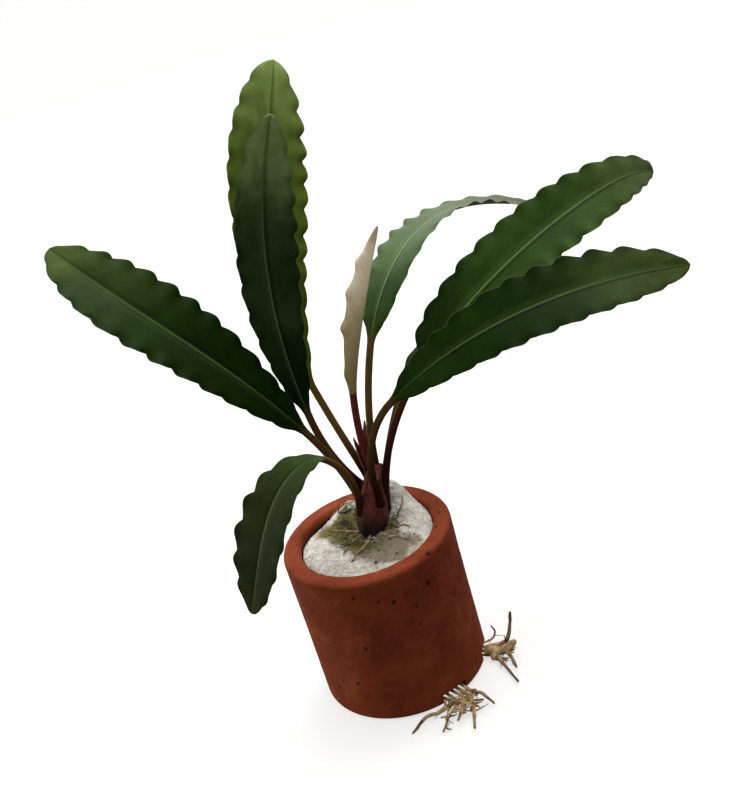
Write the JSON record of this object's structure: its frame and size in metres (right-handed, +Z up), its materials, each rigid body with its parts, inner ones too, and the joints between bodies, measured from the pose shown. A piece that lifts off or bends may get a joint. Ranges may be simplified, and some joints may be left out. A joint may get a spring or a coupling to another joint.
{
  "type": "potted aquarium plant",
  "caption": "Small plant with long wavy-edged leaves and a rolled new leaf, growing from mineral wool in a plain clay pot, its roots lying out from under the foot.",
  "frame": {"origin": "centre of the pot's flat foot, at the level it stands on", "axes": "+Z up along the pot's axis; the plant leans towards +X, and -Y is the side with the drooping leaf and most of the roots"},
  "size_m": [0.159, 0.086, 0.1583],
  "materials": {
    "pot": "unglazed reddish-brown clay, dull, with small dark pits",
    "wool": "white mineral wool, stained olive and brown near the plant",
    "rhizome": "almost black living stem",
    "leaf": "dark green living leaf with a soft sheen",
    "pale_leaf": "yellow-green younger leaf that lets light through",
    "new_leaf": "cream and pink unopened leaf",
    "sheath": "dark red papery sheath",
    "root": "tan living root with dark ends"
  },
  "bodies": {
    "root": {"clay_pot": "pot", "front_root_1": "root", "front_root_2": "root", "front_root_3": "root", "front_root_4": "root", "front_root_5": "root", "leaf_arching": "leaf", "leaf_drooping": "leaf", "leaf_hidden_right": "leaf", "leaf_left": "leaf", "leaf_lower_right": "leaf", "leaf_tall": "pale_leaf", "leaf_upper_right": "leaf", "leaf_upright": "leaf", "new_leaf": "new_leaf", "rhizome": "rhizome", "right_root_1": "root", "right_root_2": "root", "right_root_3": "root", "right_root_4": "root", "rock_wool": "wool", "sheath_left": "sheath", "sheath_right": "sheath", "surface_root_1": "root", "surface_root_2": "root", "surface_root_3": "root", "surface_root_4": "root", "surface_root_5": "root"}
  },
  "joints": []
}
